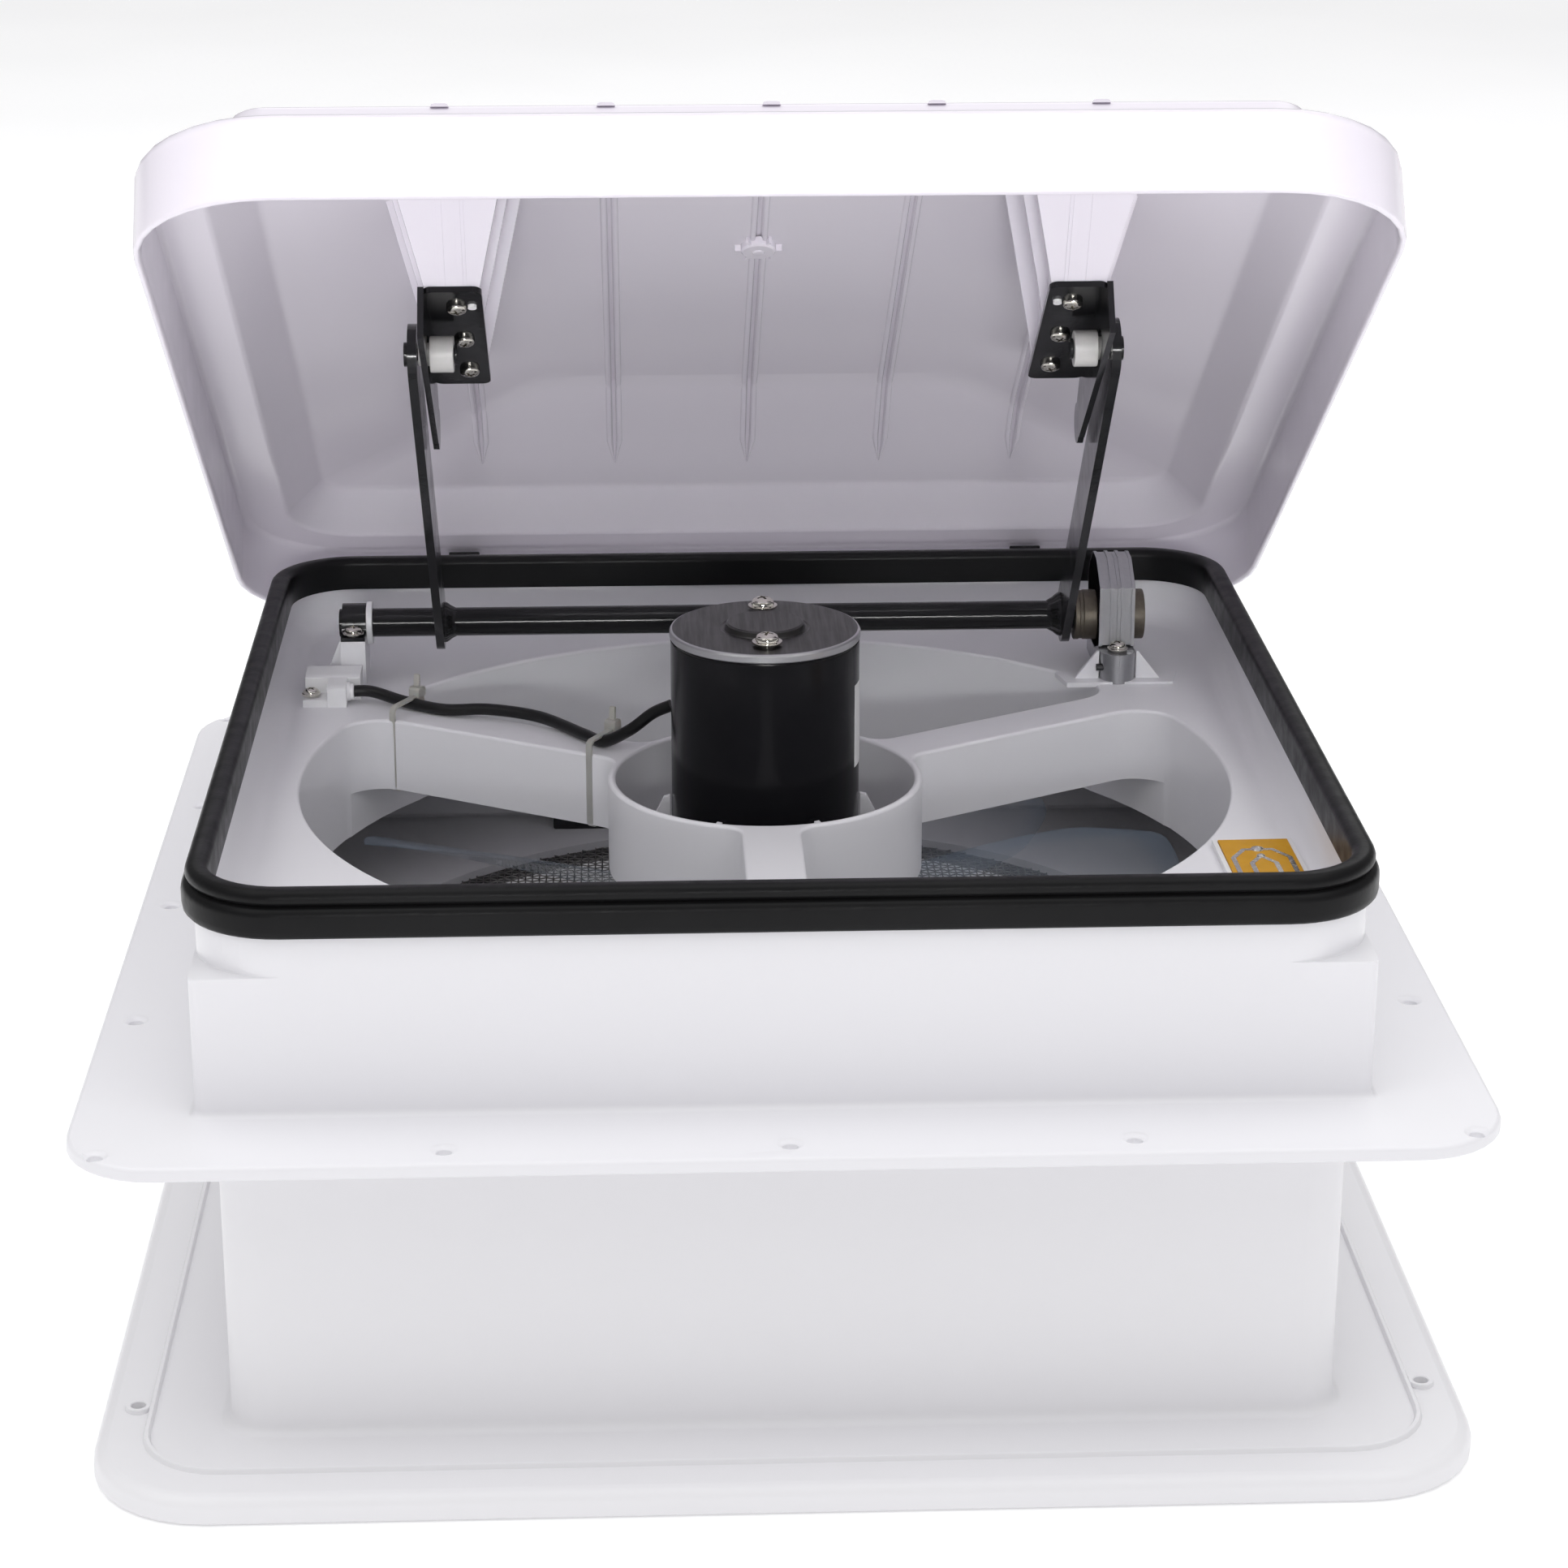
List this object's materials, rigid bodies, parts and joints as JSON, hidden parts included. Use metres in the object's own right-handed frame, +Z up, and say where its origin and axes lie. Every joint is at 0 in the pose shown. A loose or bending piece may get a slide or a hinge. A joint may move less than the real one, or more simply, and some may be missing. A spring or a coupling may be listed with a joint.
{
  "type": "roof exhaust fan",
  "caption": "Square roof exhaust fan with a hinged, motor-lifted domed lid, a clear fan under a spoked motor cradle, and a ceiling trim with screen and push buttons.",
  "frame": {"origin": "centre of the square roof opening, on the roof surface, which is the underside of the roof flange", "axes": "+Z up out of the roof, along the fan axis; +Y toward the lid hinge; +X along the hinge axis, to the right when the hinge is at the back"},
  "size_m": [0.429, 0.4333, 0.4067],
  "materials": {
    "housing_white": "gloss",
    "lid_white": "gloss",
    "trim_white": "gloss",
    "small_white": "satin",
    "seal_rubber": "satin",
    "black_steel": "gloss",
    "screw_steel": "satin",
    "cast_zinc": "satin",
    "bronze": "satin",
    "gear_brass": "satin",
    "motor_black": "gloss",
    "cap_steel": "satin",
    "label_white": "matte",
    "magnet_grey": "matte",
    "copper": "satin",
    "shaft_steel": "satin",
    "clear_blade": "gloss",
    "cable_black": "satin",
    "nylon": "satin",
    "roller_nylon": "satin",
    "ochre_board": "satin",
    "trace_silver": "gloss",
    "screen_dark": "satin",
    "mesh_dark": "satin",
    "panel_grey": "satin",
    "board_green": "satin",
    "button_red": "satin",
    "button_grey": "satin",
    "box_black": "satin",
    "plated_black": "satin"
  },
  "bodies": {
    "base": {"base_housing": "housing_white", "lid_seal": "seal_rubber", "hinge_pins": "screw_steel", "cable_box": "small_white", "cable_box_screw": "screw_steel", "shaft_clamp": "black_steel", "clamp_screw": "screw_steel", "shaft_washer": "small_white", "gearbox_left": "cast_zinc", "gearbox_right": "cast_zinc", "gearbox_screws": "screw_steel", "set_screw": "plated_black", "bushing_left": "bronze", "bushing_right": "bronze", "lift_motor": "motor_black", "motor_can": "motor_black", "motor_cap": "cap_steel", "motor_screws": "screw_steel", "motor_label": "label_white", "motor_magnets": "magnet_grey", "motor_bearings": "bronze", "motor_cable": "cable_black", "cable_ties": "nylon", "rain_frame": "small_white", "rain_board": "ochre_board", "rain_traces": "trace_silver", "ceiling_trim": "trim_white", "screen_frame": "screen_dark", "screen_mesh": "mesh_dark", "panel_bezel": "panel_grey", "panel_board": "board_green", "control_box": "box_black"},
    "lid": {"lid_shell": "lid_white", "hinge_leaves": "black_steel", "bracket_left": "black_steel", "bracket_right": "black_steel", "bracket_screws": "screw_steel", "bracket_pegs": "small_white"},
    "lift": {"lift_shaft": "black_steel", "arm_left": "black_steel", "arm_right": "black_steel", "weld_beads": "black_steel", "worm_wheel": "gear_brass", "roller_pins": "screw_steel"},
    "worm_shaft": {"worm": "gear_brass"},
    "fan": {"motor_shaft": "shaft_steel", "motor_rotor": "copper", "fan_hub": "clear_blade", "fan_blades": "clear_blade", "fan_nut": "screw_steel"},
    "roller_l": {"roller_left": "roller_nylon"},
    "roller_r": {"roller_right": "roller_nylon"},
    "clip_l": {"clip_left": "small_white"},
    "clip_r": {"clip_right": "small_white"},
    "key_one": {"button_one": "button_red"},
    "key_two": {"button_two": "button_grey"},
    "key_three": {"button_three": "button_grey"},
    "key_four": {"button_four": "button_grey"}
  },
  "joints": [
    {"name": "lid_hinge", "type": "hinge", "parent": "base", "child": "lid", "pos_m": [0, 0.1893, 0.0338], "axis": [1, 0, 0], "range_deg": [0, 35.24]},
    {"name": "lift_turn", "type": "hinge", "parent": "base", "child": "lift", "pos_m": [0, 0.118, 0.069], "axis": [1, 0, 0], "range_deg": [0, 51.2]},
    {"name": "worm_turn", "type": "hinge", "parent": "base", "child": "worm_shaft", "pos_m": [0.133, 0.1322, 0.06], "axis": [0, 0, 1], "range_deg": [0, 1025]},
    {"name": "fan_spin", "type": "hinge", "parent": "base", "child": "fan", "pos_m": [0, 0, 0], "axis": [0, 0, 1], "continuous": true},
    {"name": "roller_l_spin", "type": "hinge", "parent": "lift", "child": "roller_l", "pos_m": [-0.107, -0.00173, 0.1965], "axis": [1, 0, 0], "continuous": true},
    {"name": "roller_r_spin", "type": "hinge", "parent": "lift", "child": "roller_r", "pos_m": [0.107, -0.00173, 0.1965], "axis": [1, 0, 0], "continuous": true},
    {"name": "clip_l_turn", "type": "hinge", "parent": "base", "child": "clip_l", "pos_m": [-0.16, 0, -0.079], "axis": [0, 0, 1], "range_deg": [0, 90]},
    {"name": "clip_r_turn", "type": "hinge", "parent": "base", "child": "clip_r", "pos_m": [0.16, 0, -0.079], "axis": [0, 0, 1], "range_deg": [-90, 0]},
    {"name": "key_one_press", "type": "slide", "parent": "base", "child": "key_one", "axis": [0, 0, 1], "range_m": [0, 0.0006], "stiffness_N_per_m": 300},
    {"name": "key_two_press", "type": "slide", "parent": "base", "child": "key_two", "axis": [0, 0, 1], "range_m": [0, 0.0006], "stiffness_N_per_m": 300},
    {"name": "key_three_press", "type": "slide", "parent": "base", "child": "key_three", "axis": [0, 0, 1], "range_m": [0, 0.0006], "stiffness_N_per_m": 300},
    {"name": "key_four_press", "type": "slide", "parent": "base", "child": "key_four", "axis": [0, 0, 1], "range_m": [0, 0.0006], "stiffness_N_per_m": 300}
  ],
  "couplings": [
    {"joint": "lift_turn", "follows": "lid_hinge", "ratio": 1.45},
    {"joint": "worm_turn", "follows": "lid_hinge", "ratio": 29}
  ]
}
